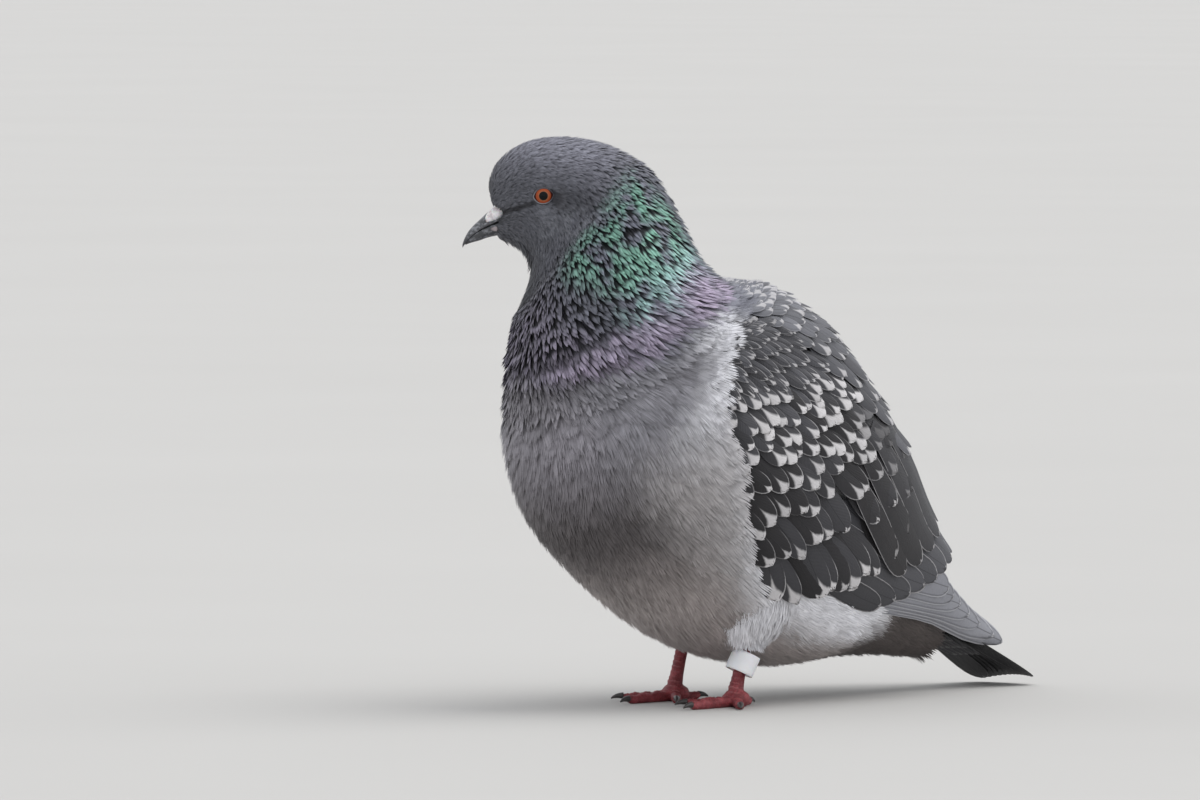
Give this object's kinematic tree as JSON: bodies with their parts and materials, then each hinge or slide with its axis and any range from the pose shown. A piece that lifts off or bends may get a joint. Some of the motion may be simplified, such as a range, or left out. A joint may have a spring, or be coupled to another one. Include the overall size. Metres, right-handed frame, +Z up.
{
  "type": "feral pigeon, life-size still model",
  "caption": "Life-size standing feral pigeon with fluffed plumage, head turned to its right and a plain ring on its left leg.",
  "frame": {"origin": "on the floor under the middle of the bird's length and width", "axes": "+Z up; the bird's body faces -Y and its tail points to +Y; +X is its left side"},
  "size_m": [0.1048, 0.2508, 0.2072],
  "materials": {
    "head_plumage": "soft blue-grey feathers, glossed green and mauve on the neck",
    "body_plumage": "soft grey feathers",
    "flight_feathers": "smooth dark grey feathers with pale edges",
    "horn": "satin dark horn",
    "cere": "powdery pale skin",
    "eye": "wet orange eye",
    "leg_skin": "scaly dark red skin",
    "ring": "plain white band"
  },
  "bodies": {
    "root": {"head": "head_plumage", "neck": "head_plumage", "trunk": "body_plumage", "rump": "body_plumage", "wing_left_coverts": "flight_feathers", "wing_left_secondaries": "flight_feathers", "wing_left_primaries": "flight_feathers", "wing_right_coverts": "flight_feathers", "wing_right_secondaries": "flight_feathers", "wing_right_primaries": "flight_feathers", "tail": "flight_feathers", "bill_upper": "horn", "bill_lower": "horn", "cere": "cere", "eye_left": "eye", "eye_right": "eye", "leg_left_thigh": "body_plumage", "leg_left_tarsus": "leg_skin", "leg_left_foot": "leg_skin", "leg_left_toe_1": "leg_skin", "leg_left_claw_1": "horn", "leg_left_toe_2": "leg_skin", "leg_left_claw_2": "horn", "leg_left_toe_3": "leg_skin", "leg_left_claw_3": "horn", "leg_left_toe_4": "leg_skin", "leg_left_claw_4": "horn", "leg_right_thigh": "body_plumage", "leg_right_tarsus": "leg_skin", "leg_right_foot": "leg_skin", "leg_right_toe_1": "leg_skin", "leg_right_claw_1": "horn", "leg_right_toe_2": "leg_skin", "leg_right_claw_2": "horn", "leg_right_toe_3": "leg_skin", "leg_right_claw_3": "horn", "leg_right_toe_4": "leg_skin", "leg_right_claw_4": "horn", "leg_left_ring": "ring"}
  },
  "joints": []
}
